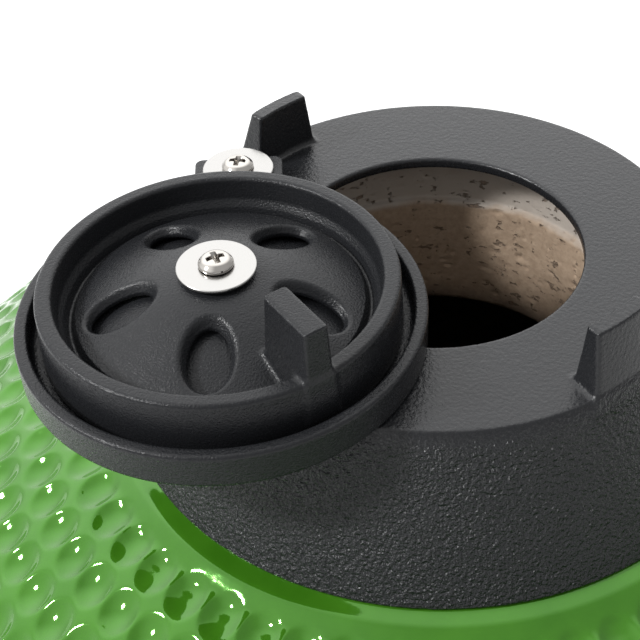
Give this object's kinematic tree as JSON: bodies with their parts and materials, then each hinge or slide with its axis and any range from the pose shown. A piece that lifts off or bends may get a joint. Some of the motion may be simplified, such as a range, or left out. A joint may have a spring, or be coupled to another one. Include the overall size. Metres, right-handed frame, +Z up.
{
  "type": "ceramic charcoal smoker",
  "caption": "Egg-shaped glazed ceramic smoker with a hinged dimpled dome, cast-iron swing-lid top vent with a turning petal disc, bands, handle and draft door.",
  "frame": {"origin": "middle of the base's flat underside", "axes": "+Z up along the body's axis, -Y towards the handle and draft door at the front, +X to the right seen from the front"},
  "size_m": [0.6456, 0.782, 0.783],
  "materials": {
    "green_glaze": "gloss green glaze",
    "raw_ceramic": "unglazed fired clay",
    "cast_iron": "satin black seasoned cast iron",
    "polished_steel": "polished stainless steel",
    "brushed_steel": "brushed stainless steel",
    "black_steel": "black powder coat",
    "felt": "woven heat-proof felt",
    "oiled_wood": "oiled hardwood",
    "dial_face": "white enamel",
    "needle_red": "red paint",
    "lens_glass": "clear glass"
  },
  "bodies": {
    "base": {"base_shell": "green_glaze", "base_gasket": "felt", "ash_skirt": "raw_ceramic", "firebox": "raw_ceramic", "fire_ring": "raw_ceramic", "fire_grate": "cast_iron", "lower_band": "black_steel", "lower_band_ear_left": "black_steel", "lower_band_ear_right": "black_steel", "lower_band_bolt": "polished_steel", "lower_band_nut": "polished_steel", "hinge_base_bracket": "black_steel", "hinge_pin": "polished_steel", "hinge_pin_clip": "polished_steel", "hinge_spring_left": "brushed_steel", "hinge_spring_right": "brushed_steel", "hinge_lower_bolt_1": "polished_steel", "hinge_lower_bolt_2": "polished_steel", "draft_frame": "brushed_steel", "draft_screen": "brushed_steel", "draft_frame_screw_1": "polished_steel", "draft_frame_screw_2": "polished_steel", "draft_frame_screw_3": "polished_steel", "draft_frame_screw_4": "polished_steel"},
    "grate": {"cooking_grate": "polished_steel"},
    "dome": {"dome_shell": "green_glaze", "dome_gasket": "felt", "neck_gasket": "felt", "vent_collar": "cast_iron", "pivot_screw": "polished_steel", "pivot_washer": "polished_steel", "thermometer_case": "polished_steel", "thermometer_dial": "dial_face", "thermometer_lens": "lens_glass", "thermometer_stem": "polished_steel", "thermometer_nut": "brushed_steel", "upper_band": "black_steel", "upper_band_ear_left": "black_steel", "upper_band_ear_right": "black_steel", "upper_band_bolt": "polished_steel", "upper_band_nut": "polished_steel", "hinge_dome_bracket": "black_steel", "hinge_upper_bolt_1": "polished_steel", "hinge_upper_bolt_2": "polished_steel", "handle_bar": "oiled_wood", "handle_bracket_left": "black_steel", "handle_bracket_right": "black_steel", "handle_bolt_left": "polished_steel", "handle_bolt_right": "polished_steel"},
    "lid": {"vent_lid": "cast_iron", "daisy_screw": "polished_steel", "daisy_washer": "polished_steel", "daisy_nut": "brushed_steel"},
    "daisy": {"daisy_wheel": "cast_iron"},
    "needle": {"thermometer_needle": "needle_red"},
    "door": {"draft_door": "brushed_steel", "draft_door_knob": "polished_steel"}
  },
  "joints": [
    {"name": "dome_hinge", "type": "hinge", "parent": "base", "child": "dome", "pos_m": [0, 0.368, 0.396], "axis": [-1, 0, 0], "range_deg": [0, 72]},
    {"name": "vent_lid_swing", "type": "hinge", "parent": "dome", "child": "lid", "pos_m": [-0.07, 0.0345, 0.745], "axis": [0, 0, 1], "range_deg": [-60, 67.7]},
    {"name": "daisy_spin", "type": "hinge", "parent": "lid", "child": "daisy", "pos_m": [-0.0752, -0.042, 0.75], "axis": [0, 0, 1], "continuous": true},
    {"name": "thermometer_needle_turn", "type": "hinge", "parent": "dome", "child": "needle", "pos_m": [0, -0.28388, 0.56], "axis": [0, 0.8421, -0.5392], "range_deg": [0, 270]},
    {"name": "draft_door_slide", "type": "hinge", "parent": "base", "child": "door", "pos_m": [0, 0, 0.088], "axis": [0, 0, 1], "range_deg": [0, 28]},
    {"name": "cooking_grate_lift", "type": "slide", "parent": "base", "child": "grate", "axis": [0, 0, 1], "range_m": [0, 0.1]}
  ]
}
